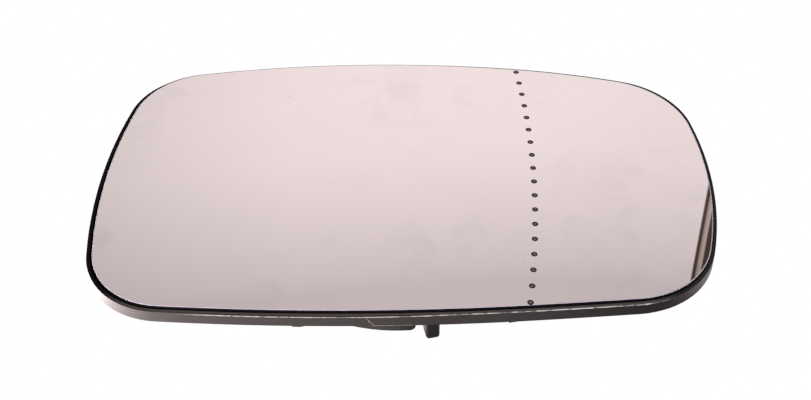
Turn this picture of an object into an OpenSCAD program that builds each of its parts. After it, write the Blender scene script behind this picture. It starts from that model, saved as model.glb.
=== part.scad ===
// Door mirror glass for the right-hand side of a car: a domed mirror with a wide-angle outer zone,
// set in the shallow rim of a moulded backing plate. It lies on its back, glass up.
// The origin is on the axis of the mounting ring, in the plane of its finger ends.
// +X points to the outer end of the glass and +Y to its top edge.

/* [Glass] */
// Width of the glass across its two bulging ends
glass_w = 178.4; // [160:0.2:200]
// Height of the glass across its top and bottom bulges
glass_h = 107.5; // [94:0.1:118]
// Thickness of the glass
glass_t = 2; // [1.6:0.1:3]
// Radius of the dome over the inner zone
dome_r = 1250; // [1000:50:2000]
// Radius across the width in the outer zone, which widens the view
outer_zone_r = 520; // [400:10:700]
// Distance from the middle of the glass to the start of the outer zone
outer_zone_x = 34.5; // [28:0.5:42]

/* [Outline] */
// Radius of the right end's bulge
right_bulge_r = 128; // [108:1:150]
// Radius of the top edge's bulge
top_bulge_r = 492; // [450:2:900]
// Radius of the left end's bulge
left_bulge_r = 189; // [150:1:230]
// Radius of the bottom edge's bulge
bottom_bulge_r = 480; // [400:2:800]
// Height of the right end's furthest point above the middle of the glass
right_bulge_y = 4.8; // [-6:0.2:8]
// Place of the top edge's highest point, measured from the middle of the glass
top_bulge_x = -10.2; // [-20:0.2:6]
// Height of the left end's furthest point above the middle of the glass
left_bulge_y = -8.8; // [-14:0.2:4]
// Place of the bottom edge's lowest point, measured from the middle of the glass
bottom_bulge_x = -12.4; // [-20:0.2:6]
// Radius of the top right corner
top_right_r = 24.5; // [14:0.5:28]
// Radius of the top left corner
top_left_r = 22; // [14:0.5:28]
// Radius of the bottom left corner
bottom_left_r = 23.5; // [14:0.5:28]
// Radius of the bottom right corner
bottom_right_r = 28; // [18:0.5:34]

/* [Dotted line] */
// Number of dots in the line that marks the outer zone
dot_count = 18; // [12:1:22]
// Diameter of a dot
dot_d = 1.8; // [1:0.1:2.4]
// Depth of a dot in the face of the glass
dot_depth = 0.15; // [0.1:0.05:0.4]
// Distance from the level of the glass's top edge to the first dot's middle
dot_top = 3.55; // [2.8:0.05:8]
// Distance from the level of the glass's bottom edge to the last dot's middle
dot_low = 2.95; // [2.8:0.05:8]
// Distance from the middle of the glass to the line
dot_line_x = 37; // [30:0.1:44]
// Radius of the line, which bows towards the outer end
dot_line_r = 405; // [300:5:600]
// Height of the line's outermost point above the middle of the glass
dot_line_y = 7.8; // [-10:0.1:10]

/* [Heater] */
// Thickness of the heater pad with its adhesive
pad_t = 0.4; // [0.3:0.05:0.8]
// Distance from the edge of the glass to the edge of the pad
pad_margin = 4; // [2:0.5:8]
// Width of a terminal blade
blade_w = 6.3; // [4.8:0.1:6.4]
// Thickness of a terminal blade
blade_t = 0.8; // [0.6:0.1:1]
// Length of a terminal blade below its foot
blade_l = 8; // [6:0.5:8.5]
// Length of the foot that is fixed to the pad
foot_l = 6; // [4:0.5:8]
// Diameter of the locking hole through a blade
blade_hole_d = 1.8; // [1.4:0.1:2.2]
// Distance from the foot down to the middle of the locking hole
blade_hole_at = 4.8; // [3:0.1:5.2]
// Distance between the two blades' middles
blade_gap = 15; // [12:0.5:18]
// Distance from the ring's axis to the blades, towards the inner end
blade_x = 58; // [52:1:62]
// Clearance between a terminal and the edges of its window
window_gap = 2; // [1:0.1:2.4]

/* [Backing plate] */
// Thickness of the plate behind the pad
plate_t = 1.8; // [1.4:0.1:2.6]
// Clearance between the glass and the lip round it
glass_gap = 0.35; // [0.25:0.05:0.5]
// Distance that the glass lies off the middle of its rim, towards the outer end
glass_x = 0.15; // [-0.2:0.05:0.2]
// Thickness of the lip round the glass
lip_t = 1.05; // [0.8:0.05:1.6]
// Height of the glass's face above the lip
glass_proud = 0.75; // [0.6:0.05:1.4]
// Radius of the round on the lip's outer edge
lip_ease = 0.2; // [0.1:0.05:0.5]
// Height of the rim's side wall, from the lip to its lower edge
rim_h = 3.8; // [3.5:0.1:8]
// How much tighter the rim's top right corner is than one that would run beside the glass's
rim_tighter = 2.4; // [0:0.1:3]
// Thickness of the side wall below the plate
wall_t = 1.5; // [1.2:0.1:2.2]
// Depth of the stubs that the moulding's gates leave on the side wall's lower edge
stub_h = 0.35; // [0.2:0.05:1]
// Width of the wide stub
wide_stub_w = 2.6; // [1:0.1:5]
// Distance of the wide stub from the plate's middle, towards the inner end
wide_stub_x = 29.3; // [20:0.1:45]
// Width of the narrow stub
narrow_stub_w = 0.6; // [0.4:0.1:1.6]
// Distance of the narrow stub from the plate's middle, towards the outer end
narrow_stub_x = 27.6; // [20:0.1:45]
// Place of the plate's middle to the right of the ring's axis
plate_x = 3; // [-4:0.5:6]
// Place of the plate's middle above the ring's axis
plate_y = 3.4; // [-4:0.1:4]

/* [Mounting ring] */
// Outer radius of the ring
ring_r = 44; // [40:0.5:46]
// Thickness of the ring's wall
ring_t = 1.8; // [1.4:0.1:2.4]
// Thickness of a finger, inwards from the outside of the ring
finger_t = 3; // [2.4:0.1:3.6]
// Height of the glass's middle above the finger ends
stand_h = 20.4; // [17:0.2:24]
// Height of the ring's lower edge above the finger ends
finger_reach = 4.2; // [2:0.1:5]
// Number of spring fingers round the ring
finger_count = 4; // [3:1:6]
// Width of a finger
finger_w = 4; // [3.6:0.1:8]
// Width of the slot on each side of a finger
slot_w = 3; // [1.6:0.1:4]
// Height of the ring left whole above the slots
slot_top = 2; // [1:0.5:4]
// Radius of the ring's corners at the mouth of a slot
mouth_r = 1.6; // [0.8:0.1:2]
// Radius of a finger's corners at its free end
tip_r = 0.8; // [0.4:0.1:1.4]
// Radius of a finger's two upright edges on the outside
edge_r = 0.9; // [0.4:0.1:1.4]
// Angle of the first finger, anticlockwise from the outer end
first_finger = -76.6; // [-85:0.2:-60]
// Reach of a finger's hook towards the axis
hook_reach = 1.3; // [0.8:0.1:2]
// Height of a hook
hook_h = 2.6; // [2:0.1:3.4]
// Clearance between a hook and the edge of the window that its core leaves in the plate
hook_gap = 0.7; // [0.4:0.1:1.2]

/* [Ribs] */
// Height of the ribs below the plate
rib_h = 1.4; // [0.8:0.1:2.4]
// Thickness of the ribs
rib_t = 1.3; // [1:0.1:2]
// Distance of the cross ribs from the plate's middle
cross_rib_x = 28.4; // [24:0.2:34]
// Distance of the long ribs from the plate's middle
long_rib_y = 18; // [17:0.5:26]
// Number of rays between the hub and the ring
ray_count = 8; // [4:2:12]
// Radius of the hole in the middle of the plate
hub_hole_r = 6; // [4:0.5:9]
// Thickness of the collar round that hole
hub_t = 1.6; // [1.2:0.1:2.4]
// Height of the collar below the plate
hub_h = 4; // [2:0.5:8]

/* [Hidden] */
$fn = 96;
// Roundness of the wide arcs, whose facets would show at the edges
wide_fn = 256;
// Number of fine steps that ease an edge
ease_steps = 3;
// How far a cutting shape runs past what it cuts
over = 1;
// How far the dome's revolved block runs past the outline
spare = 10;
// How far an arc is opened so that it crosses its neighbour cleanly where the two touch
meet = 0.002;
// Levels of the stacked layers, measured from the face of the glass
glass_low = -glass_t;
pad_low = glass_low - pad_t;
plate_low = pad_low - plate_t;
lip_top = -glass_proud;
rim_low = lip_top - rim_h;
lip_out = glass_gap + lip_t;
// Level inside the plate at which all that stands on its back begins
root = pad_low - plate_t / 2;
// Height at which the slots beside the fingers end
slots_end = stand_h + plate_low - slot_top;
// Height at which the hub's collar ends
hub_low = stand_h + plate_low - hub_h;
// Height of the terminals' feet, lowered by the dome's fall where they lie
blade_level = stand_h + pad_low - blade_t - pow(blade_x + plate_x, 2) / (2 * dome_r);
// Bulging sides of the glass: the middle and radius of each arc, anticlockwise from the right end
sides = [
    [glass_w / 2 - right_bulge_r, right_bulge_y, right_bulge_r],
    [top_bulge_x, glass_h / 2 - top_bulge_r, top_bulge_r],
    [left_bulge_r - glass_w / 2, left_bulge_y, left_bulge_r],
    [bottom_bulge_x, bottom_bulge_r - glass_h / 2, bottom_bulge_r]
];
// Corner radii, each after the side with the same number
corners = [top_right_r, top_left_r, bottom_left_r, bottom_right_r];
// The same for the rim, before its distance from the glass is added
rim_corners = [top_right_r - rim_tighter, top_left_r, bottom_left_r, bottom_right_r];
// Half the angle that the dome's revolved block spans, seen from its far axis
dome_half = asin((glass_h / 2 + lip_out + spare) / (dome_r - 2 * stand_h));
// Angle from the middle of the dome to the start of the outer zone
zone_angle = asin(outer_zone_x / dome_r);
// Spacing of the dots along their line, the angle of one space, and the angle of the line's middle
dot_pitch = (glass_h - dot_top - dot_low) / (dot_count - 1);
dot_step = dot_pitch / dot_line_r * 180 / PI;
dot_mid = asin(((dot_low - dot_top) / 2 - dot_line_y) / dot_line_r);

function unit(v) = v / norm(v);
function mid(a) = [a[0], a[1]];

// Middle of the corner arc of radius r that touches side i and the next side from within
function corner_at(i, r) =
    let (a = sides[i])
    let (b = sides[(i + 1) % 4])
    let (ra = a[2] - r)
    let (rb = b[2] - r)
    let (span = norm(mid(b) - mid(a)))
    let (e = unit(mid(b) - mid(a)))
    let (along = (span * span + ra * ra - rb * rb) / (2 * span))
    let (across = sqrt(ra * ra - along * along))
    mid(a) + along * e + across * [-e[1], e[0]];

// Wedge from a corner arc's middle through the two points where it touches its sides
module corner_wedge(i, r) {
    c = corner_at(i, r);
    u = unit(c - mid(sides[i]));
    v = unit(c - mid(sides[(i + 1) % 4]));
    reach = 3 * r;
    polygon([c, c + reach * u, c + reach * (u + v), c + reach * v]);
}

// Outline of the glass, or a curve that runs beside it at an even distance: what lies within all
// four side arcs, less what lies beyond each corner arc. The rim has its own corners.
module outline(grow = 0, round = corners) {
    difference() {
        intersection_for (s = sides)
            translate(mid(s)) circle(s[2] + grow, $fn = wide_fn);
        for (i = [0:3])
            difference() {
                corner_wedge(i, round[i]);
                translate(corner_at(i, round[i])) circle(round[i] + grow + meet);
            }
    }
}

// Section across the width of everything under the dome at one level: an arc round the far axis,
// less what lies beyond the outer zone's tighter arc, which leaves the first one smoothly
module dome_section(level) {
    reach = glass_w;
    depth = 2 * stand_h;
    toward = [cos(zone_angle), sin(zone_angle)];
    low = (dome_r - depth) * toward;
    high = (dome_r + depth) * toward;
    difference() {
        intersection() {
            circle(dome_r + level, $fn = 4 * wide_fn);
            translate([dome_r - depth, -reach]) square([2 * depth, 2 * reach]);
        }
        difference() {
            polygon([low, high, [high[0], reach + over], [low[0] - over, reach + over]]);
            translate((dome_r - outer_zone_r) * toward) circle(outer_zone_r + level + meet, $fn = wide_fn);
        }
    }
}

// Domed layer between two levels, turned about an axis that lies far below along the width
module domed(top, low) {
    translate([0, 0, -dome_r])
        rotate(180, [1, 0, 1])
            rotate_extrude(angle = 2 * dome_half, start = -dome_half, $fn = wide_fn)
                difference() {
                    dome_section(top);
                    dome_section(low);
                }
}

// Domed layer with the glass's outline, or one that runs inside it
module layer(top, low, grow = 0) {
    intersection() {
        domed(top, low);
        translate([0, 0, -2 * stand_h]) linear_extrude(height = 3 * stand_h) outline(grow);
    }
}

// Domed layer with the rim's outline, at a distance beyond the glass and off the glass's middle
module rim_layer(top, low, grow) {
    intersection() {
        domed(top, low);
        translate([-glass_x, 0, -2 * stand_h])
            linear_extrude(height = 3 * stand_h) outline(grow, rim_corners);
    }
}

// The rim's outer block, whose upper edge is eased in a few fine steps that follow a quarter round
module eased_rim() {
    difference() {
        rim_layer(lip_top, rim_low, lip_out);
        for (k = [0:ease_steps - 1]) {
            floor_at = lip_top - lip_ease * (1 - sin(90 * k / ease_steps));
            inset = lip_ease * (1 - cos(90 * (k + 0.5) / ease_steps));
            difference() {
                rim_layer(lip_top + over, floor_at, lip_out + over);
                rim_layer(lip_top + 2 * over, rim_low - over, lip_out - inset);
            }
        }
    }
}

// Puts its children where the middle of the glass's face lies
module at_plate() {
    translate([plate_x, plate_y, stand_h]) children();
}

// Flat discs let into the face of the glass, spaced evenly along a bowed line
module dots(top = 0) {
    intersection() {
        domed(top, -dot_depth);
        for (i = [0:dot_count - 1]) {
            turn = dot_mid + (i - (dot_count - 1) / 2) * dot_step;
            x = dot_line_x + dot_line_r * (cos(turn) - 1);
            y = dot_line_y + dot_line_r * sin(turn);
            translate([x, y, -stand_h]) cylinder(h = 2 * stand_h, d = dot_d);
        }
    }
}

module mirror_glass() {
    color("lavenderblush") at_plate() difference() {
        layer(0, glass_low);
        dots(over);
    }
}

module zone_dots() {
    color("dimgray") at_plate() dots();
}

module heater_pad() {
    color("goldenrod") at_plate() layer(glass_low, pad_low, -pad_margin);
}

// Puts its children at the two terminals
module at_terminals() {
    for (side = [-1, 1]) translate([-blade_x, side * blade_gap / 2, 0]) children();
}

// Each terminal is a strip bent once: a foot against the pad, and a blade that hangs from the foot's end
module heater_terminals() {
    foot_low = pad_low - blade_t;
    color("silver") difference() {
        union() {
            intersection() {
                at_plate() domed(pad_low, foot_low);
                at_terminals() translate([-foot_l, -blade_w / 2, 0]) cube([foot_l, blade_w, stand_h]);
            }
            intersection() {
                at_plate() domed(pad_low - blade_t / 2, foot_low - blade_l);
                at_terminals() translate([-blade_t, -blade_w / 2, 0]) cube([blade_t, blade_w, stand_h]);
            }
        }
        at_terminals() translate([-foot_l, 0, blade_level - blade_hole_at])
            rotate([0, 90, 0]) cylinder(h = 2 * foot_l, d = blade_hole_d);
    }
}

// What lies beyond a rounded corner at the origin, whose piece fills the quarter right of it and above
module corner_cut(r) {
    difference() {
        translate([-over, -over]) square(r + over);
        translate([r, r]) circle(r + meet);
    }
}

// Puts its children at each finger, with +X pointing out from the axis
module at_fingers() {
    for (k = [0:finger_count - 1]) rotate([0, 0, first_finger + k * 360 / finger_count]) children();
}

// Stands a shape up that is drawn as seen from outside the ring, and runs it through the ring's wall
module through_ring() {
    depth = finger_t + hook_reach + 2 * over;
    translate([ring_r + over - depth, 0, 0])
        rotate([90, 0, 90]) linear_extrude(height = depth) children();
}

module tube(low, top, outer, inner) {
    translate([0, 0, low]) difference() {
        cylinder(h = top - low, r = outer);
        translate([0, 0, -over]) cylinder(h = top - low + 2 * over, r = inner);
    }
}

// Opening for a finger and its two slots, with rounded corners where it meets the ring's lower edge
module finger_opening() {
    half = finger_w / 2 + slot_w;
    translate([-half, -over]) square([2 * half, slots_end + over]);
    translate([half, finger_reach]) corner_cut(mouth_r);
    translate([-half, finger_reach]) rotate(90) corner_cut(mouth_r);
}

// Finger as seen from outside the ring, with rounded corners at its free end
module finger_face() {
    half = finger_w / 2;
    difference() {
        translate([-half, 0]) square([finger_w, slots_end + over]);
        translate([-half, 0]) corner_cut(tip_r);
        translate([half, 0]) rotate(90) corner_cut(tip_r);
    }
}

// Finger as seen from above, with +X pointing out from the axis and rounded outer edges
module finger_plan() {
    half = finger_w / 2;
    depth = finger_t + hook_reach + over;
    difference() {
        translate([ring_r - depth, -half]) square([depth + over, finger_w]);
        translate([ring_r, -half]) rotate(90) corner_cut(edge_r);
        translate([ring_r, half]) rotate(180) corner_cut(edge_r);
    }
}

// Finger's section turned round the axis: a slope that leads the mating part in, and a flat that holds it
module finger_band() {
    inner = ring_r - finger_t;
    top = slots_end + over;
    rotate_extrude() polygon([
        [ring_r, 0],
        [inner + hook_reach / 2, 0],
        [inner - hook_reach, hook_h - hook_reach / 2],
        [inner - hook_reach, hook_h],
        [inner, hook_h],
        [inner, top],
        [ring_r, top]
    ]);
}

module mounting_ring() {
    difference() {
        tube(finger_reach, stand_h, ring_r, ring_r - ring_t);
        at_fingers() through_ring() finger_opening();
    }
    intersection() {
        finger_band();
        at_fingers() through_ring() finger_face();
        at_fingers() linear_extrude(height = stand_h) finger_plan();
    }
}

// Low ribs: rays from the hub to the ring, and outside it two ribs each way across the plate
module ribs() {
    span = 2 * stand_h;
    for (k = [0:ray_count - 1])
        rotate([0, 0, first_finger + (k + 0.5) * 360 / ray_count])
            translate([hub_hole_r + hub_t / 2, -rib_t / 2, 0])
                cube([ring_r - ring_t / 2 - hub_hole_r - hub_t / 2, rib_t, span]);
    difference() {
        translate([plate_x, plate_y, 0]) {
            for (side = [-1, 1]) {
                translate([side * cross_rib_x - rib_t / 2, -glass_h, 0]) cube([rib_t, 2 * glass_h, span]);
                translate([-glass_w, side * long_rib_y - rib_t / 2, 0]) cube([2 * glass_w, rib_t, span]);
            }
        }
        translate([0, 0, -over]) cylinder(h = span + 2 * over, r = ring_r - ring_t / 2);
    }
}

// Stubs on the side wall's lower edge, flush with the wall's faces and as domed as the rest
module gate_stubs() {
    at_plate() intersection() {
        domed(rim_low + stub_h, rim_low - stub_h);
        translate([-glass_x, 0, -2 * stand_h]) linear_extrude(height = 3 * stand_h) difference() {
            intersection() {
                outline(lip_out, rim_corners);
                for (stub = [[-wide_stub_x, wide_stub_w], [narrow_stub_x, narrow_stub_w]])
                    translate([stub[0] - stub[1] / 2, -glass_h]) square([stub[1], glass_h]);
            }
            outline(lip_out - wall_t, rim_corners);
        }
    }
}

// Windows through the plate: one above each hook, where the mould's core stood, and one for each terminal
module windows() {
    hook_in = ring_r - finger_t - hook_reach - hook_gap;
    half = blade_w / 2 + window_gap;
    intersection() {
        tube(hook_h, stand_h, ring_r - finger_t, hook_in);
        at_fingers() translate([0, -finger_w / 2, 0]) cube([ring_r, finger_w, 2 * stand_h]);
    }
    at_terminals() translate([-foot_l - window_gap, -half, 0])
        cube([foot_l + 2 * window_gap, 2 * half, stand_h]);
}

// Rim and plate: a domed tray that is hollow on both sides
module tray() {
    at_plate() {
        difference() {
            eased_rim();
            rim_layer(over, pad_low, glass_gap);
            rim_layer(plate_low, rim_low - over, lip_out - wall_t);
        }
    }
}

module backing_plate() {
    color([0.16, 0.15, 0.16]) difference() {
        union() {
            tray();
            intersection() {
                union() {
                    mounting_ring();
                    translate([0, 0, hub_low]) cylinder(h = stand_h - hub_low, r = hub_hole_r + hub_t);
                }
                at_plate() domed(root, -stand_h - 2 * over);
            }
            intersection() {
                ribs();
                at_plate() rim_layer(root, plate_low - rib_h, lip_out - wall_t / 2);
            }
            gate_stubs();
        }
        windows();
        translate([0, 0, hub_low - over]) cylinder(h = stand_h, r = hub_hole_r);
    }
}

mirror_glass();
zone_dots();
heater_pad();
heater_terminals();
backing_plate();
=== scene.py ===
"""A car's door mirror glass on its moulded backing plate, seen from above its lower edge.

Lengths are in millimetres up to the point where a mesh is made. A place on the part is given by the
outline's point, its distance out from the outline, and its level measured from the face of the glass.
Places in materials, on the stage and for the lights are in metres, as Object coordinates are.
"""

import math

import bmesh
import bpy
import numpy as np
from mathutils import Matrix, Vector


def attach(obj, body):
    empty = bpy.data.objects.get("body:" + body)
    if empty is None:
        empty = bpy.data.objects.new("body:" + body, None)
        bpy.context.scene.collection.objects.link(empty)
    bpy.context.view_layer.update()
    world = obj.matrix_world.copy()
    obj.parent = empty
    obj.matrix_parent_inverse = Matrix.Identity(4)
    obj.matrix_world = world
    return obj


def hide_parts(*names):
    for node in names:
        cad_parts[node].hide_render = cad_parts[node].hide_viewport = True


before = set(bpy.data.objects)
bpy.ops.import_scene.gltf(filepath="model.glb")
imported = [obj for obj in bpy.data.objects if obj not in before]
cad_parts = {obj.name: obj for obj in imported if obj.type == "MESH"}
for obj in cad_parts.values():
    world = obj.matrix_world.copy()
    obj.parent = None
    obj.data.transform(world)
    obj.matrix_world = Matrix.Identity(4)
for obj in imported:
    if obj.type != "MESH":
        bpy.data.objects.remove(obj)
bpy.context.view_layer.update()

MM = 0.001
# The glass: width, height, thickness, and the radius of its ground edge
GLASS_W, GLASS_H, GLASS_T, GROUND_R = 178.4, 107.5, 2.0, 0.3
# The dome's radius, and the tighter radius of the outer zone with its start
DOME_R, OUTER_R, OUTER_X = 1250.0, 520.0, 34.5
# Slant of the dome where the outer zone starts, and the middle of the outer zone's section
OUTER_TURN = math.asin(OUTER_X / DOME_R)
OUTER_MIDDLE = (DOME_R - OUTER_R) * math.sin(OUTER_TURN), (DOME_R - OUTER_R) * math.cos(OUTER_TURN)
# Middle of the plate from the ring's axis, and the height of the face above the floor
PLATE = np.array([3.0, 3.4, 20.4])
# The bulging sides, anticlockwise from the outer end: their radii, and how far their middles lie off the
# glass's own middle, along the side
SIDE_R, SIDE_OFF = (128.0, 492.0, 189.0, 480.0), (4.8, -10.2, -8.8, -12.4)
# Each side's middle and radius
SIDES = np.array([
    [GLASS_W / 2 - SIDE_R[0], SIDE_OFF[0], SIDE_R[0]], [SIDE_OFF[1], GLASS_H / 2 - SIDE_R[1], SIDE_R[1]],
    [SIDE_R[2] - GLASS_W / 2, SIDE_OFF[2], SIDE_R[2]], [SIDE_OFF[3], SIDE_R[3] - GLASS_H / 2, SIDE_R[3]]])
# The glass's corners, each after its side, and how much tighter the rim's first one is
CORNERS, TIGHTER = np.array([24.5, 22.0, 23.5, 28.0]), 2.4
# The rim's corners before its distance from the glass is added
RIM_CORNERS = CORNERS - np.array([TIGHTER, 0, 0, 0])
# The glass's points: their spacing along the outline, and the rings across face, ground edge, side, back
OUTLINE_STEP, FACE_RINGS, GROUND_RINGS, SIDE_RINGS, BACK_RINGS = 1.4, 48, 5, 4, 15
# Points that an arc of the outline has at least
ARC_LEAST = 6
# Rows of the ground edge, from the top, that are pale
PALE_ROWS = 3
# What grinding takes off the glass's edge, and how much further off the middle it leaves the outline
EDGE_IN, EDGE_SHIFT = 0.05, (0.12, 0.0)
# The dots: number, diameter, depth, margins at the top and the bottom, and the bowed line that they follow
DOTS, DOT_D, DOT_DEPTH, DOT_TOP, DOT_LOW = 18, 1.8, 0.15, 3.55, 2.95
LINE_X, LINE_Y, LINE_R = 37.0, 7.8, 405.0
# How far the dots' upper faces and their edges stand above the glass, so that they show through it
DOT_PROUD, DOT_EDGE = 0.012, 0.0048
# A dot's rings from its upper face to its lower: share of its radius and level, and the points on each
DOT_RADII = np.array([0.4, 0.56, 0.72, 1.0, 1.0, 0.5])
DOT_LEVELS = np.array([DOT_PROUD, DOT_PROUD, DOT_PROUD, DOT_EDGE, -DOT_DEPTH, -DOT_DEPTH])
DOT_POINTS = 40
# The lip: clearance round the glass, thickness, depth below the face, and the round of its outer edge
GLASS_GAP, LIP_T, PROUD, LIP_ROUND = 0.35, 1.05, 0.75, 0.2
# How far a point of the steps that stand for that round may lie short of its quarter, and past it
ROUND_SHORT, ROUND_PAST = 0.001, 0.02
# Height of the rim's side wall below the lip
RIM_WALL = 3.8
# How far the glass lies off the rim's middle, towards the outer end
GLASS_X = 0.15
# The far side's lip: how far it lies lower and further in, from what slant of the outline, to what place,
# and how much of the wall above the rim's lower edge stays as it is
FAR_DOWN, FAR_IN, FAR_FROM, FAR_SPAN, FAR_END, FAR_FOOT = 0.15, 0.1, 0.62, 0.22, 60.0, 1.0
# What follows: the distance of the lip's outer face, and the level of the side wall's lower edge
LIP_OUT, RIM_LOW = GLASS_GAP + LIP_T, -PROUD - RIM_WALL
# The ring's outer radius and the thickness of its wall
RING_R, RING_T = 44.0, 1.8
# How near a point of a wall lies to its true surface, and the step over which a field's slope is taken
WALL_NEAR, SLOPE_STEP = 0.03, 0.01
# The upward part of a face's normal: at most this on an upright wall, and at least this along the dome
UPRIGHT_MOST, LEVEL_LEAST = 0.02, 0.9
# Points of the solid nearer than this, in metres, are one point
MERGE = 2e-6
# The least length that anything is divided by
TINY = 1e-6
# The angles from which an edge is sharp on the glass and dots, and on the plate
FORM_SHARP, PLATE_SHARP = math.radians(24), math.radians(32)


def height(x, y, level):
    """Level surface under the dome.

    Its section across the width is a circle of radius DOME_R about the far axis, and beyond OUTER_X
    one of radius OUTER_R that leaves the first smoothly: h(x) = ch + sqrt((r + level)^2 - (x - cx)^2).
    Turned about that axis it gives z = sqrt(h^2 - y^2) - DOME_R.
    """
    cx, ch = OUTER_MIDDLE
    inner = np.sqrt((DOME_R + level) ** 2 - x * x)
    outer = ch + np.sqrt(np.maximum((OUTER_R + level) ** 2 - (x - cx) ** 2, 0))
    h = np.where(x > (DOME_R + level) * math.sin(OUTER_TURN), outer, inner)
    return np.sqrt(h * h - y * y) - DOME_R


def level_of(x, y, z):
    """Level of a point: its distance from the section's middle less the section's radius."""
    cx, ch = OUTER_MIDDLE
    h = np.hypot(y, z + DOME_R)
    return np.where(x * math.cos(OUTER_TURN) > h * math.sin(OUTER_TURN),
                    np.hypot(x - cx, h - ch) - OUTER_R, np.hypot(x, h) - DOME_R)


def corner_middles(corners):
    """Middles of the corner arcs: each lies R - r from the middles of the two sides it touches."""
    a, b = SIDES, np.roll(SIDES, -1, 0)
    ra, rb = a[:, 2] - corners, b[:, 2] - corners
    d = b[:, :2] - a[:, :2]
    span = np.hypot(*d.T)
    e = d / span[:, None]
    along = (span ** 2 + ra ** 2 - rb ** 2) / (2 * span)
    across = np.sqrt(ra ** 2 - along ** 2)
    return a[:, :2] + along[:, None] * e + across[:, None] * np.stack([-e[:, 1], e[:, 0]], 1)


def outline(spacing):
    """Points about one spacing apart on the glass's outline, and its outward normals there.

    Each of the eight arcs is m + r * (cos t, sin t) between the turns at which it meets the next two.
    """
    middles = corner_middles(CORNERS)
    points, normals = [], []
    for i in range(4):
        side, start, end = SIDES[i], middles[i - 1], middles[i]
        after = SIDES[(i + 1) % 4, :2]
        t = [math.atan2(v[1], v[0]) for v in (start - side[:2], end - side[:2], end - after)]
        t = np.unwrap(t)
        for middle, radius, t0, t1 in ((side[:2], side[2], t[0], t[1]), (end, CORNERS[i], t[1], t[2])):
            count = max(ARC_LEAST, int(round(radius * (t1 - t0) / spacing)))
            a = np.linspace(t0, t1, count, endpoint=False)
            v = np.stack([np.cos(a), np.sin(a)], 1)
            points.append(middle + radius * v)
            normals.append(v)
    return np.concatenate(points), np.concatenate(normals)


def offset_of(p):
    """Distance of a point beyond the rim's outline.

    Within a corner's wedge it is the distance from the corner's middle less its radius, and elsewhere
    the greatest of the four sides' distances from their middles less their radii.
    """
    middles = corner_middles(RIM_CORNERS)
    out = (np.linalg.norm(p[:, None] - SIDES[None, :, :2], axis=2) - SIDES[:, 2]).max(1)
    for i in range(4):
        u = middles[i] - SIDES[i, :2]
        v = middles[i] - SIDES[(i + 1) % 4, :2]
        d = p - middles[i]
        within = (u[0] * d[:, 1] - u[1] * d[:, 0] > 0) & (d[:, 0] * v[1] - d[:, 1] * v[0] > 0)
        out = np.where(within, np.hypot(d[:, 0], d[:, 1]) - RIM_CORNERS[i], out)
    return out


def on_part(xy, level):
    """Points of the part's frame over plan points, at a level of the dome."""
    xy, level = np.broadcast_arrays(xy, np.asarray(level)[..., None])
    z = height(xy[..., 0], xy[..., 1], level[..., 0])
    return np.concatenate([xy, z[..., None]], -1) + PLATE


def read(items, key, width):
    """The items' values of one kind, as an array with a row of this width for each."""
    values = np.empty(len(items) * width)
    items.foreach_get(key, values)
    return values.reshape(-1, width)


def mark(mesh, key, values):
    """Gives each of the mesh's points a number of this name."""
    mesh.attributes.new(key, "FLOAT", "POINT").data.foreach_set("value", values.astype(np.float32))


def placed(name, data):
    """An object with this data, linked to the scene at the origin."""
    piece = bpy.data.objects.new(name, data)
    bpy.context.scene.collection.objects.link(piece)
    return piece


def solids(name, rings, kinds=None):
    """Closed forms, each lofted over rings from the pole inside its first to the pole inside its last.

    rings has the shape (forms, rings, points, 3). Poles are the first and last rings' means, and the
    faces turn outwards where the rings run anticlockwise and go outwards on top. kinds gives each row of
    faces between two rings its material.
    """
    forms, count, n, _ = rings.shape
    block = count * n + 2
    verts = np.concatenate([rings.reshape(forms, -1, 3), rings[:, :1].mean(2), rings[:, -1:].mean(2)], 1)
    k, i = np.meshgrid(np.arange(count - 1), np.arange(n), indexing="ij")
    j = (i + 1) % n
    quads = np.stack([k * n + i, (k + 1) * n + i, (k + 1) * n + j, k * n + j], -1).reshape(-1, 4)
    r = np.arange(n)
    s = (r + 1) % n
    top = np.stack([np.full(n, block - 2), r, s], 1)
    low = np.stack([np.full(n, block - 1), (count - 1) * n + s, (count - 1) * n + r], 1)
    shift = (np.arange(forms) * block)[:, None, None]
    quads = (quads + shift).reshape(-1, 4)
    caps = (np.concatenate([top, low]) + shift).reshape(-1, 3)
    mesh = bpy.data.meshes.new(name)
    mesh.from_pydata((verts.reshape(-1, 3) * MM).tolist(), [], quads.tolist() + caps.tolist())
    if kinds is not None:
        ends = np.repeat((kinds[0], kinds[-1]), n)
        index = np.concatenate([np.tile(np.repeat(kinds, n), forms), np.tile(ends, forms)])
        mesh.polygons.foreach_set("material_index", index.astype(np.int32))
    mesh.shade_smooth()
    mesh.set_sharp_from_angle(angle=FORM_SHARP)
    return placed(name, mesh)


def material(name, base, rough, metal=0.0, **sockets):
    """A material, its tree and its Principled shader, with the values that are the same all over it."""
    paint = bpy.data.materials.new(name)
    paint.use_nodes = True
    shader = paint.node_tree.nodes["Principled BSDF"]
    shader.inputs["Base Color"].default_value = (*base, 1)
    shader.inputs["Roughness"].default_value = rough
    shader.inputs["Metallic"].default_value = metal
    for key, value in sockets.items():
        shader.inputs[key.replace("_", " ")].default_value = value
    return paint, paint.node_tree, shader


def add(tree, kind, links=(), **settings):
    """A node with its settings, its inputs linked to sockets or set to numbers."""
    node = tree.nodes.new(kind)
    for key, value in settings.items():
        setattr(node, key, value)
    for key, value in dict(links).items():
        if isinstance(value, bpy.types.NodeSocket):
            tree.links.new(value, node.inputs[key])
        else:
            node.inputs[key].default_value = value
    return node


def object_place(tree):
    """The Object coordinates."""
    return tree.nodes.new("ShaderNodeTexCoord").outputs["Object"]


def split(tree, where):
    """The three parts of a place, under X, Y and Z."""
    return add(tree, "ShaderNodeSeparateXYZ", {"Vector": where}).outputs


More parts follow.
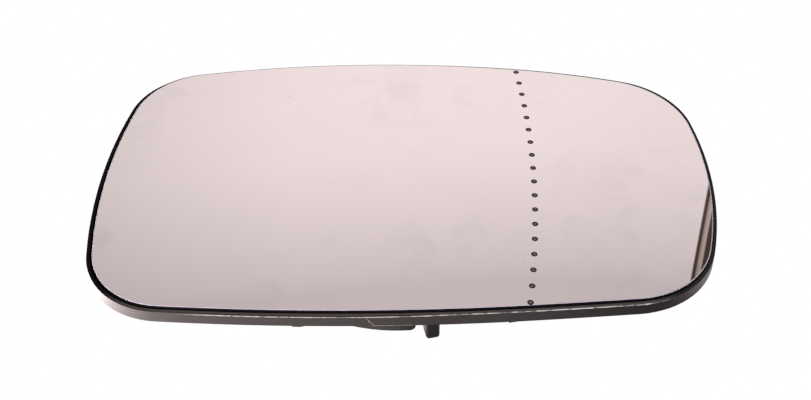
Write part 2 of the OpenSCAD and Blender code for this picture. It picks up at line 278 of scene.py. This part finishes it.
def noise(tree, where, scale, detail=3.0, rough=0.5, distortion=0.0):
    """A noise of this scale, between 0 and 1."""
    return add(tree, "ShaderNodeTexNoise", {
        "Vector": where, "Scale": scale, "Detail": detail, "Roughness": rough,
        "Distortion": distortion}).outputs["Fac"]


def ramp(tree, value, low, high, out_low=0.0, out_high=1.0):
    """Passes smoothly from out_low to out_high while the value goes from low to high."""
    return add(tree, "ShaderNodeMapRange", {
        "Value": value, "From Min": low, "From Max": high, "To Min": out_low, "To Max": out_high},
        interpolation_type="SMOOTHSTEP").outputs["Result"]


def math_node(tree, operation, *values):
    """One operation of the Math node."""
    return add(tree, "ShaderNodeMath", dict(enumerate(values)), operation=operation).outputs[0]


def product(tree, first, *others):
    """All the values multiplied."""
    for value in others:
        first = math_node(tree, "MULTIPLY", first, value)
    return first


def between(tree, a, b):
    """How far one value is from another."""
    return math_node(tree, "ABSOLUTE", math_node(tree, "SUBTRACT", a, b))


def distance(tree, where, place):
    """How far a point is from a place."""
    return add(tree, "ShaderNodeVectorMath", {0: where, 1: place}, operation="DISTANCE").outputs["Value"]


def blend(tree, fac, a, b):
    """Two colours mixed: the first where the factor is 0, and the second where it is 1."""
    node = tree.nodes.new("ShaderNodeMix")
    node.data_type = "RGBA"
    for key, value in (("Factor", fac), ("A", a), ("B", b)):
        kind = "VALUE" if key == "Factor" else "RGBA"
        socket = next(s for s in node.inputs if s.name == key and s.type == kind)
        if isinstance(value, bpy.types.NodeSocket):
            tree.links.new(value, socket)
        else:
            socket.default_value = (*value, 1)
    return next(s for s in node.outputs if s.type == "RGBA")


def band(tree, value, low, high, soft):
    """1 between two values of a field, and 0 beyond them."""
    up = ramp(tree, value, low - soft, low + soft)
    down = ramp(tree, value, high - soft, high + soft, 1.0, 0.0)
    return product(tree, up, down)


def attribute(tree, name):
    """The number that the mesh's points carry under this name."""
    return add(tree, "ShaderNodeAttribute", attribute_name=name).outputs["Fac"]


def grain_group():
    """Node group: a fine noise that mixes two colours and raises the surface a little."""
    tree = bpy.data.node_groups.new("surface_grain", "ShaderNodeTree")
    sockets = tree.interface
    for name, kind, value in (("Low Colour", "Color", (0, 0, 0, 1)), ("High Colour", "Color", (1, 1, 1, 1)),
                              ("Scale", "Float", 900.0), ("Depth", "Float", GRAIN_DEPTH)):
        sockets.new_socket(name, in_out="INPUT", socket_type="NodeSocket" + kind).default_value = value
    for name, kind in (("Colour", "Color"), ("Normal", "Vector")):
        sockets.new_socket(name, in_out="OUTPUT", socket_type="NodeSocket" + kind)
    given = tree.nodes.new("NodeGroupInput").outputs
    field = noise(tree, object_place(tree), given["Scale"], detail=4.0, rough=0.6)
    mixed = blend(tree, field, given["Low Colour"], given["High Colour"])
    raised = add(tree, "ShaderNodeBump", {"Height": field, "Distance": given["Depth"], "Strength": 0.4})
    add(tree, "NodeGroupOutput", {"Colour": mixed, "Normal": raised.outputs["Normal"]})
    return tree


def grain(tree, low, high, scale, depth):
    """The grain group placed in a material, with its two colours, scale and depth."""
    given = {"Low Colour": (*low, 1), "High Colour": (*high, 1), "Scale": scale, "Depth": depth}
    return add(tree, "ShaderNodeGroup", given, node_tree=GRAIN).outputs


# How far the grain raises a surface
GRAIN_DEPTH = 0.00001
GRAIN = grain_group()
# The plastic's grain is deeper, between two dark tones. Then come its painted sheen and its scuff with a
# painted highlight.
MOULD_DEPTH, MOULD_LOW, MOULD_HIGH = 0.00002, (0.006, 0.005, 0.005), (0.013, 0.011, 0.011)
NEAR_LIP_SHEEN, SCRATCH_AND_HIGHLIGHT = (0.16, 0.13, 0.12), (0.3, 0.28, 0.27)
# All wear, the painted sheen and the painted highlights are by the near edge, and fade out between these
# places across the part
NEAR_EDGE = (-0.046, -0.04)
# The worn line along the lip, with its painted highlight: its ends, its level in millimetres at the inner
# and at the outer stretch, where it passes from one to the other, the fading of its edges, and how much it
# widens outwards and where
WORN_HIGHLIGHT_ENDS, WORN_HIGHLIGHT_LEVELS, WORN_HIGHLIGHT_PASS = (-0.055, 0.072), (-PROUD - 0.42, -PROUD - 0.07), (-0.01, 0.025)
WORN_HIGHLIGHT_FADE, WORN_HIGHLIGHT_WIDER, WIDER_PASS = (0.09, 0.2), 1.45, (0.01, 0.06)
# How far out on the lip it starts and is full
WORN_HIGHLIGHT_OUT = (LIP_OUT - 0.2, LIP_OUT - 0.08)
# Its tones of bare plastic and painted highlight towards the inner and the outer end, and where one passes
# into the other
BARE_AND_HIGHLIGHT_INNER, BARE_AND_HIGHLIGHT_OUTER, BARE_AND_HIGHLIGHT_PASS = (0.5, 0.47, 0.47), (0.95, 0.9, 0.92), (-0.02, 0.06)
# A scuff down the wall by the ring, which goes on as a painted highlight along the wall's lower edge: its
# level at the ring's axis, its fall per millimetre, and its two stretches
SCUFF_LEVEL, SCUFF_FALL, SCUFF_DOWN, EDGE_HIGHLIGHT_ALONG = -12.8, -1.4, (-0.008, -0.0061), (-0.0064, 0.0046)
# How far the scuff strays from its line, the fading of its edges, and the levels between which the painted
# highlight runs along the lower edge
SCUFF_STRAY, SCUFF_FADE, EDGE_HIGHLIGHT_LEVELS = 0.4, (0.05, 0.3), (RIM_LOW - 0.1, RIM_LOW + 0.2)
# How far out on the lip the painted sheen lies
SHEEN_SPAN = (GLASS_GAP + 0.1, LIP_OUT - 0.2)


def worn_and_highlight_line(tree, where, x, level, beyond):
    """The broken, pale line along the lip's outer edge: wear from handling, and a painted highlight on the
    edge's round.
    """
    middle = ramp(tree, x, *WORN_HIGHLIGHT_PASS, *WORN_HIGHLIGHT_LEVELS)
    wider = ramp(tree, x, *WIDER_PASS, 1.0, WORN_HIGHLIGHT_WIDER)
    line = ramp(tree, math_node(tree, "DIVIDE", between(tree, level, middle), wider), *WORN_HIGHLIGHT_FADE, 1.0, 0.0)
    outside = ramp(tree, beyond, *WORN_HIGHLIGHT_OUT)
    dashes = noise(tree, where, scale=420.0, detail=5.0, rough=0.7)
    dashes = ramp(tree, dashes, low=0.38, high=0.55, out_low=0.2)
    return product(tree, line, outside, dashes, band(tree, x, *WORN_HIGHLIGHT_ENDS, soft=0.006))


def scratch_and_edge_highlight(tree, where, x, level):
    """A scuff that runs down the wall, and on from it a painted highlight along the wall's lower edge to
    the ring's end.
    """
    line = math_node(tree, "MULTIPLY_ADD", x, SCUFF_FALL / MM, SCUFF_LEVEL)
    stray = noise(tree, where, scale=1500.0, detail=2.0)
    stray = ramp(tree, stray, low=0.2, high=0.8, out_low=-SCUFF_STRAY, out_high=SCUFF_STRAY)
    off = between(tree, level, math_node(tree, "ADD", line, stray))
    down = product(tree, ramp(tree, off, *SCUFF_FADE, 1.0, 0.0), band(tree, x, *SCUFF_DOWN, soft=0.0003))
    # low and along: the painted highlight along the wall's lower edge
    low = band(tree, level, *EDGE_HIGHLIGHT_LEVELS, soft=0.1)
    along = product(tree, low, band(tree, x, *EDGE_HIGHLIGHT_ALONG, soft=0.0006))
    broken = noise(tree, where, scale=900.0, detail=4.0, rough=0.7)
    broken = ramp(tree, broken, low=0.3, high=0.6, out_low=0.25, out_high=0.9)
    return product(tree, math_node(tree, "MAXIMUM", down, along), broken)


def plastic():
    """Dark moulded plastic, with a painted sheen on the lip's top by the near edge, a worn line with a
    painted highlight along the lip's outer edge, and a scuff with a painted highlight where the ring meets
    the wall.
    """
    paint, tree, shader = material("moulded_plastic", MOULD_LOW, rough=0.4, Specular_IOR_Level=0.42)
    where = object_place(tree)
    place = split(tree, where)
    x = place["X"]
    level, beyond = attribute(tree, "level"), attribute(tree, "beyond")
    near = ramp(tree, place["Y"], *NEAR_EDGE, 1.0, 0.0)
    fine = grain(tree, MOULD_LOW, MOULD_HIGH, scale=3200.0, depth=MOULD_DEPTH)
    # The lip's top by the near edge is painted lighter, a painted sheen
    sheened = product(tree, near, band(tree, beyond, *SHEEN_SPAN, soft=0.08))
    body = blend(tree, sheened, fine["Colour"], NEAR_LIP_SHEEN)
    # A scuff down the wall, and a painted highlight along the wall's lower edge
    body = blend(tree, product(tree, near, scratch_and_edge_highlight(tree, where, x, level)), body, SCRATCH_AND_HIGHLIGHT)
    # The worn line along the lip's outer edge with its painted highlight, nearly white towards the outer
    # end
    bare_and_highlight = blend(tree, ramp(tree, x, *BARE_AND_HIGHLIGHT_PASS), BARE_AND_HIGHLIGHT_INNER, BARE_AND_HIGHLIGHT_OUTER)
    worn_and_highlight = product(tree, near, worn_and_highlight_line(tree, where, x, level, beyond))
    tree.links.new(blend(tree, worn_and_highlight, body, bare_and_highlight), shader.inputs["Base Color"])
    cloud = noise(tree, where, scale=60.0, detail=4.0, rough=0.6)
    rough = ramp(tree, cloud, low=0.3, high=0.7, out_low=0.34, out_high=0.46)
    tree.links.new(rough, shader.inputs["Roughness"])
    tree.links.new(fine["Normal"], shader.inputs["Normal"])
    return paint


# The silver's tint, that of a smear on it, and that of a speck
SILVER = (0.93, 0.788, 0.788)
SMEARED, SPECK = tuple(0.93 * v for v in SILVER), (0.55, 0.46, 0.46)
# The finger mark near the inner end: its place, the fading of its edge, and how strong it is
FINGER_MARK, MARK_FADE, MARK_MOST = (-0.084, -0.021, 0.017), (0.001, 0.006), 2.4


def mirror():
    """Silvered glass with a faint rose tint, wipe marks in patches, a finger mark and a few specks."""
    paint, tree, shader = material("silvered_glass", SILVER, rough=0.0, metal=1.0)
    where = object_place(tree)
    wisps = noise(tree, where, scale=75.0, detail=8.0, rough=0.68, distortion=0.6)
    patches = ramp(tree, noise(tree, where, scale=22.0, detail=2.0), low=0.4, high=0.68)
    wiped = product(tree, ramp(tree, wisps, low=0.46, high=0.7), patches)
    touched = ramp(tree, distance(tree, where, FINGER_MARK), *MARK_FADE, MARK_MOST, 0.0)
    touched = product(tree, touched, ramp(tree, wisps, low=0.3, high=0.7))
    tint = blend(tree, math_node(tree, "MAXIMUM", wiped, touched), SILVER, SMEARED)
    speck = ramp(tree, noise(tree, where, scale=700.0, detail=1.0, rough=0.3), low=0.835, high=0.855)
    tree.links.new(blend(tree, speck, tint, SPECK), shader.inputs["Base Color"])
    return paint


# A dot's two brown tones, the tone of the painted shadow round its edge, and where on its radius that
# shadow starts and is full
DOT_LOW_TONE, DOT_HIGH_TONE, DOT_RIM_SHADE = (0.25, 0.19, 0.178), (0.3, 0.23, 0.215), (0.008, 0.005, 0.006)
DOT_RIM_SHADE_SPAN = (0.4, 0.72)


def dot_paint():
    """Dull brown spot behind the glass, with a painted shadow round its edge."""
    paint, tree, shader = material("dot", DOT_LOW_TONE, rough=0.4, Coat_Weight=0.3, Coat_Roughness=0.0,
                                   Specular_IOR_Level=0.2)
    fine = grain(tree, DOT_LOW_TONE, DOT_HIGH_TONE, scale=1500.0, depth=GRAIN_DEPTH)
    # A painted shadow round the dot's edge
    rim_shade = ramp(tree, attribute(tree, "spread"), *DOT_RIM_SHADE_SPAN)
    tree.links.new(blend(tree, rim_shade, fine["Colour"], DOT_RIM_SHADE), shader.inputs["Base Color"])
    return paint


def plain(name, base, rough, metal=0.0, scale=900.0, spread=0.12, **sockets):
    """A material whose colour wanders by a small share and whose surface has a fine grain."""
    paint, tree, shader = material(name, base, rough, metal, **sockets)
    low, high = (tuple(min(1.0, c * (1 + sign * spread)) for c in base) for sign in (-1, 1))
    fine = grain(tree, low, high, scale, GRAIN_DEPTH)
    tree.links.new(fine["Colour"], shader.inputs["Base Color"])
    tree.links.new(fine["Normal"], shader.inputs["Normal"])
    return paint


PLASTIC = plastic()
MIRROR = mirror()
GROUND = plain("ground_edge", (0.88, 0.8, 0.9), rough=0.6, scale=2600.0, spread=0.06,
               Specular_IOR_Level=0.05)
SIDE = plain("glass_side", (0.012, 0.011, 0.013), rough=0.5, scale=300.0, Specular_IOR_Level=0.05)
DOT = dot_paint()
PAD = plain("heater_film", (0.5, 0.3, 0.07), rough=0.4)
TIN = plain("tinned_blade", (0.68, 0.67, 0.64), rough=0.3, metal=1.0, scale=400.0)


def glass_form():
    """The glass, lofted from the middle of its face over the ground edge and the side to that of its back.

    A ring of the face or the back is the outline drawn in to a share of its distance from the middle. A
    ring of the ground edge is a step of the quarter round of radius GROUND_R inside the outline.
    """
    curve, away = outline(OUTLINE_STEP)
    curve += EDGE_SHIFT - EDGE_IN * away
    middle = curve.mean(0)
    inset = curve - GROUND_R * away
    share = np.sin(np.linspace(0, 1, FACE_RINGS + 1)[1:] * math.pi / 2)[:, None, None]
    face = on_part(middle + share * (inset - middle), np.zeros(share.shape[:2]))
    turn = np.linspace(0, math.pi / 2, GROUND_RINGS + 1)[1:, None]
    ground_curve = curve - GROUND_R * (1 - np.sin(turn))[..., None] * away
    ground = on_part(ground_curve, -GROUND_R * (1 - np.cos(turn)))
    level = np.linspace(-GROUND_R, -GLASS_T, SIDE_RINGS + 1)[1:, None]
    side = on_part(curve + 0 * level[..., None], level)
    share = np.linspace(1, 0, BACK_RINGS + 2)[1:-1, None, None]
    back = on_part(middle + share * (curve - middle), np.full(share.shape[:2], -GLASS_T))
    # Only the upper part of the ground edge is pale. The rest has the glass side's dark material.
    dark_rows = len(ground) - PALE_ROWS + len(side) + len(back)
    kinds = np.repeat((0, 1, 2), (len(face) - 1, PALE_ROWS, dark_rows))
    piece = solids("glass_form", np.concatenate([face, ground, side, back])[None], kinds)
    for paint in (MIRROR, GROUND, SIDE):
        piece.data.materials.append(paint)
    return piece


def dot_forms():
    """The dots: discs one pitch apart on the arc (LINE_X, LINE_Y) + LINE_R * (cos t - 1, sin t).

    Each point keeps its share of the dot's radius, for the painted shadow round its edge.
    """
    pitch = (GLASS_H - DOT_TOP - DOT_LOW) / (DOTS - 1)
    steps = np.arange(DOTS) - (DOTS - 1) / 2
    t = math.asin(((DOT_LOW - DOT_TOP) / 2 - LINE_Y) / LINE_R) + steps * pitch / LINE_R
    spots = np.stack([LINE_X + LINE_R * (np.cos(t) - 1), LINE_Y + LINE_R * np.sin(t)], 1)[:, None, None]
    a = np.linspace(0, 2 * math.pi, DOT_POINTS, endpoint=False)
    circle = np.stack([np.cos(a), np.sin(a)], 1)
    radius = DOT_RADII[:, None, None] * DOT_D / 2
    levels = DOT_LEVELS[:, None] + np.zeros((DOTS, 1, 1))
    piece = solids("dot_forms", on_part(spots + radius * circle, levels))
    spread = np.concatenate([np.repeat(DOT_RADII, DOT_POINTS), [0, 0]])
    mark(piece.data, "spread", np.tile(spread, DOTS))
    piece.data.materials.append(DOT)
    return piece


def even_normals(piece):
    """Corner normals with which the broad walls keep their own slant up to the small rounds beside them."""
    even = piece.modifiers.new("even_walls", "WEIGHTED_NORMAL")
    even.mode = "FACE_AREA_WITH_ANGLE"
    even.keep_sharp = True
    even.weight = 50
    drawn = piece.evaluated_get(bpy.context.evaluated_depsgraph_get())
    facing = read(drawn.to_mesh().corner_normals, "vector", 3)
    drawn.to_mesh_clear()
    piece.modifiers.remove(even)
    return facing


def plate_form():
    """The backing plate: the solid's own points, with the lip's outer edge rounded.

    The lip's steps are drawn onto the quarter round that they stand for: each point moves along the line
    from the round's middle, in the plane of the outline's normal and the dome's, to LIP_ROUND from it.
    """
    work = bmesh.new()
    work.from_mesh(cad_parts["backing_plate"].data)
    bmesh.ops.remove_doubles(work, verts=work.verts, dist=MERGE)
    skin = bpy.data.meshes.new("plate_form")
    work.to_mesh(skin)
    work.free()
    co = read(skin.vertices, "co", 3) / MM - PLATE
    level = level_of(*co.T)
    rim = co[:, :2] + (GLASS_X, 0)
    beyond = offset_of(rim)
    reach = np.stack([beyond - (LIP_OUT - LIP_ROUND), level + PROUD + LIP_ROUND], 1)
    stepped = (reach > -ROUND_SHORT).all(1) & (reach < LIP_ROUND + ROUND_PAST).all(1)
    size = np.maximum(np.hypot(*reach.T), TINY)[:, None]
    step = np.where(stepped[:, None], reach / size * LIP_ROUND - reach, 0.0)
    slope = np.stack([(offset_of(rim + d) - beyond) / SLOPE_STEP for d in SLOPE_STEP * np.eye(2)], 1)
    up = co + (0, 0, DOME_R)
    up /= np.linalg.norm(up, axis=1)[:, None]
    outwards = np.concatenate([slope, 0 * slope[:, :1]], 1)
    co += step[:, :1] * outwards + step[:, 1:] * up
    # The lip's outer edge is rounder along the far side, where it lies a little lower and further in
    far = np.clip((slope[:, 1] - FAR_FROM) / FAR_SPAN, 0, 1) * np.clip((FAR_END - co[:, 0]) / FAR_END, 0, 1)
    far *= (beyond > GLASS_GAP + LIP_T / 2) & (level > RIM_LOW + FAR_FOOT)
    co -= np.stack([0 * far, FAR_IN * far, FAR_DOWN * far], 1)
    skin.vertices.foreach_set("co", ((co + PLATE) * MM).ravel())
    mark(skin, "level", level)
    mark(skin, "beyond", beyond)
    skin.update()
    skin.shade_smooth()
    skin.set_sharp_from_angle(angle=PLATE_SHARP)
    skin.materials.clear()
    skin.materials.append(PLASTIC)
    piece = placed("plate_form", skin)
    facing = even_normals(piece)
    true_normals(skin, co, level, beyond, outwards, facing)
    skin.normals_split_custom_set(facing.tolist())
    return piece


def true_normals(skin, co, level, beyond, outwards, facing):
    """Turns corner normals to those of the surfaces that the solid's triangles stand for.

    The ring's walls face away from its axis or towards it, the rim's side wall faces along the outline's
    normal, and a face along the dome faces the way in which the level rises fastest, or against it.
    """
    corner = np.empty(len(skin.loops), np.int32)
    skin.loops.foreach_get("vertex_index", corner)
    tilt = np.repeat(read(skin.polygons, "normal", 3)[:, 2], 3)
    from_axis = (co + PLATE) * (1, 1, 0)
    radius = np.hypot(*from_axis[:, :2].T)
    from_axis /= np.maximum(radius, TINY)[:, None]
    walls = (
        (abs(radius - RING_R), from_axis),
        (abs(radius - RING_R + RING_T), -from_axis),
        (abs(beyond - LIP_OUT), outwards))
    for off, way in walls:
        on_wall = np.repeat((off < WALL_NEAR)[corner].reshape(-1, 3).all(1), 3) & (abs(tilt) < UPRIGHT_MOST)
        facing[on_wall] = way[corner[on_wall]]
    here, steps = level_of(*co.T), SLOPE_STEP * np.eye(3)
    rise = np.stack([level_of(*(co + d).T) - here for d in steps], 1) / SLOPE_STEP
    even = np.repeat(np.ptp(level[corner].reshape(-1, 3), axis=1) < WALL_NEAR, 3)
    along_dome = even & (abs(tilt) > LEVEL_LEAST)
    facing[along_dome] = rise[corner[along_dome]] * np.sign(tilt[along_dome])[:, None]


glass = glass_form()
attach(glass, "root")
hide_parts("mirror_glass")

dots = dot_forms()
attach(dots, "root")
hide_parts("zone_dots")

plate = plate_form()
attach(plate, "root")
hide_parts("backing_plate")

for name, finish in (("heater_pad", PAD), ("heater_terminals", TIN)):
    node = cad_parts[name]
    if not node.material_slots:
        node.data.materials.append(finish)
    for held in node.material_slots:
        held.material = finish


def stops(tree, value, span, colors):
    """Colours along a field: each stop is its share of the span with its colour or grey."""
    share = add(tree, "ShaderNodeMapRange", {"Value": value, "From Min": span[0], "From Max": span[1]})
    node = add(tree, "ShaderNodeValToRGB", {"Fac": share.outputs["Result"]})
    points = node.color_ramp.elements
    points.remove(points[1])
    for i, (at, color) in enumerate(colors):
        point = points[0] if i == 0 else points.new(at)
        point.position = at
        point.color = (*np.broadcast_to(color, 3).tolist(), 1)
    return node.outputs["Color"]


def times(tree, a, b):
    """Two colours multiplied."""
    return add(tree, "ShaderNodeVectorMath", {0: a, 1: b}, operation="MULTIPLY").outputs[0]


def seen(tree):
    """1 for what the camera or the mirror sees, and 0 for light that falls on a dull surface."""
    rays = tree.nodes.new("ShaderNodeLightPath").outputs
    return math_node(tree, "MAXIMUM", rays["Is Camera Ray"], rays["Is Singular Ray"])


def from_behind(tree):
    """1 where a sheet is met from behind."""
    return tree.nodes.new("ShaderNodeNewGeometry").outputs["Backfacing"]


def sheet(name, width, depth, level=0.0, down=False):
    """A flat sheet about its own middle that faces up or down, and its material's empty tree."""
    x, y = width / 2, depth / 2
    corners = [(-x, -y, level), (x, -y, level), (x, y, level), (-x, y, level)]
    mesh = bpy.data.meshes.new(name)
    mesh.from_pydata(corners, [], [(0, 3, 2, 1) if down else (0, 1, 2, 3)])
    paint = bpy.data.materials.new(name)
    paint.use_nodes = True
    paint.node_tree.nodes.clear()
    mesh.materials.append(paint)
    return placed(name, mesh), paint.node_tree


def glow_or_clear(tree, hidden, light):
    """Ends a sheet's material: it glows where hidden is 0, and is clear where hidden is 1."""
    glow = add(tree, "ShaderNodeEmission", light).outputs[0]
    clear = tree.nodes.new("ShaderNodeBsdfTransparent").outputs[0]
    both = add(tree, "ShaderNodeMixShader", {0: hidden, 1: glow, 2: clear}).outputs[0]
    add(tree, "ShaderNodeOutputMaterial", {"Surface": both})


FLOOR_SIZE, FLOOR_DROP = 6.0, 0.0002
# The floor glows like a light table, strongest beyond the inner end: tint and strengths along the width
GLOW_SPAN, GLOW_MOST = (-0.2, 0.2), (10.0, 8.6, 8.5)
GLOW = (
    (0.0, 0.06), (0.12, 0.3), (0.18, 1.0), (0.25, 0.97), (0.29, 0.5), (0.34, 0.25), (0.42, 0.17),
    (0.62, 0.085), (0.7, 0.03), (0.73, 0.03), (0.755, 0.17), (0.81, 0.22), (0.87, 0.04), (1.0, 0.03))
# The near finger's own shade on the floor before it: its place, the fading of its edge, and what is left
FINGER_SHADE, SHADE_FADE, SHADE_LEAST = (0.0125, -0.05, -FLOOR_DROP), (0.006, 0.014), 0.3

floor, tree = sheet("floor", FLOOR_SIZE, FLOOR_SIZE, -FLOOR_DROP)
where = object_place(tree)
power = times(tree, stops(tree, split(tree, where)["X"], GLOW_SPAN, GLOW), GLOW_MOST)
power = times(tree, power, ramp(tree, distance(tree, where, FINGER_SHADE), *SHADE_FADE, SHADE_LEAST, 1.0))
# The camera sees the floor plain white, and from below it isn't seen
glow_or_clear(tree, from_behind(tree), {"Color": blend(tree, seen(tree), power, (1, 1, 1))})


def soft_light(name, place, aim, width, depth, strength):
    """A soft box whose light falls on dull surfaces, while neither the camera nor the mirror shows it."""
    box, tree = sheet(name, width, depth, down=True)
    box.location = place
    box.rotation_euler = (Vector(aim) - Vector(place)).to_track_quat("-Z", "Y").to_euler()
    hidden = math_node(tree, "MAXIMUM", seen(tree), from_behind(tree))
    glow_or_clear(tree, hidden, {"Strength": strength})


soft_light("front_soft", place=(-0.45, -0.75, 0.35), aim=(0, -0.05, 0.01),
           width=0.7, depth=0.3, strength=8.3)
soft_light("back_soft", place=(0.9, 0.4, 0.6), aim=(0, 0, 0), width=0.8, depth=0.3, strength=5.0)

# A card behind the part, which fills the mirror: its middle, width and height, and how far it is tipped
CARD_MIDDLE, CARD_W, CARD_H, CARD_TIP = (0.08, 0.95, 0.95), 2.6, 2.0, 135
# It is pale above and greyer below, along a slightly leaning line
FADE_LEAN, FADE_SPAN = 0.1, (-0.26, 0.2)
FADE = ((0.0, 0.94), (0.28, 0.905), (0.4, 0.865), (0.65, 0.765), (0.82, 0.675), (0.91, 0.6), (1.0, 0.593))
# It is less bright to both sides
SIDE_SPAN = (-0.6, 0.5)
SIDE_FADE = ((0.0, 0.77), (0.12, 0.86), (0.3, 0.97), (0.45, 1.0), (0.7, 1.0), (1.0, 0.93))
# It has leaning dark and tan stripes at its outer end
STRIPE_LEAN, STRIPE_SPAN = 0.177, (0.51, 0.61)
STRIPES = (
    (0.15, (1, 1, 1)), (0.186, (0.1, 0.07, 0.07)), (0.24, (0.09, 0.07, 0.065)), (0.27, (0.42, 0.38, 0.33)),
    (0.348, (0.66, 0.6, 0.54)), (0.39, (0.09, 0.065, 0.06)), (0.97, (0.07, 0.05, 0.045)), (1.0, (1, 1, 1)))

card, tree = sheet("card", CARD_W, CARD_H)
card.location = CARD_MIDDLE
card.rotation_euler = (math.radians(CARD_TIP), 0, 0)
parts = split(tree, object_place(tree))
lean = math_node(tree, "MULTIPLY_ADD", parts["Y"], STRIPE_LEAN, parts["X"])
slant = math_node(tree, "MULTIPLY_ADD", parts["X"], FADE_LEAN, parts["Y"])
shade = times(tree, stops(tree, slant, FADE_SPAN, FADE), stops(tree, lean, STRIPE_SPAN, STRIPES))
shade = times(tree, shade, stops(tree, parts["X"], SIDE_SPAN, SIDE_FADE))
# Only the mirror sees the card
mirrored = tree.nodes.new("ShaderNodeLightPath").outputs["Is Singular Ray"]
glow_or_clear(tree, math_node(tree, "SUBTRACT", 1.0, mirrored), {"Color": shade})

# A pale room, greyer overhead, of which little light reaches the dull surfaces
ROOM_LIGHT, ROOM_SPAN, ROOM = 0.1, (-0.2, 1.0), ((0.0, 0.9), (0.3, 0.92), (0.7, 0.7), (1.0, 0.5))
world = bpy.data.worlds.new("studio")
bpy.context.scene.world = world
world.use_nodes = True
tree = world.node_tree
sky = tree.nodes["Background"].inputs
up = split(tree, tree.nodes.new("ShaderNodeTexCoord").outputs["Generated"])["Z"]
tree.links.new(stops(tree, up, ROOM_SPAN, ROOM), sky["Color"])
tree.links.new(ramp(tree, seen(tree), 0, 1, ROOM_LIGHT, 1.0), sky["Strength"])

# The camera looks along the ground towards +Y, tipped down, from where the photograph was taken
VIEW_PLACE, VIEW_TIP = (2.47, -303.6, 291.13), 42.53
FOCAL_PX, IMAGE_W, SENSOR = 1400.5, 811, 36.0
lens = bpy.data.cameras.new("view")
lens.sensor_width = SENSOR
lens.lens = FOCAL_PX / IMAGE_W * SENSOR
lens.clip_start, lens.clip_end = 0.01, 20
camera = placed("view", lens)
camera.location = [v * MM for v in VIEW_PLACE]
camera.rotation_euler = (math.radians(90 - VIEW_TIP), 0, 0)
bpy.context.scene.camera = camera
bpy.context.scene.view_settings.view_transform = "Standard"
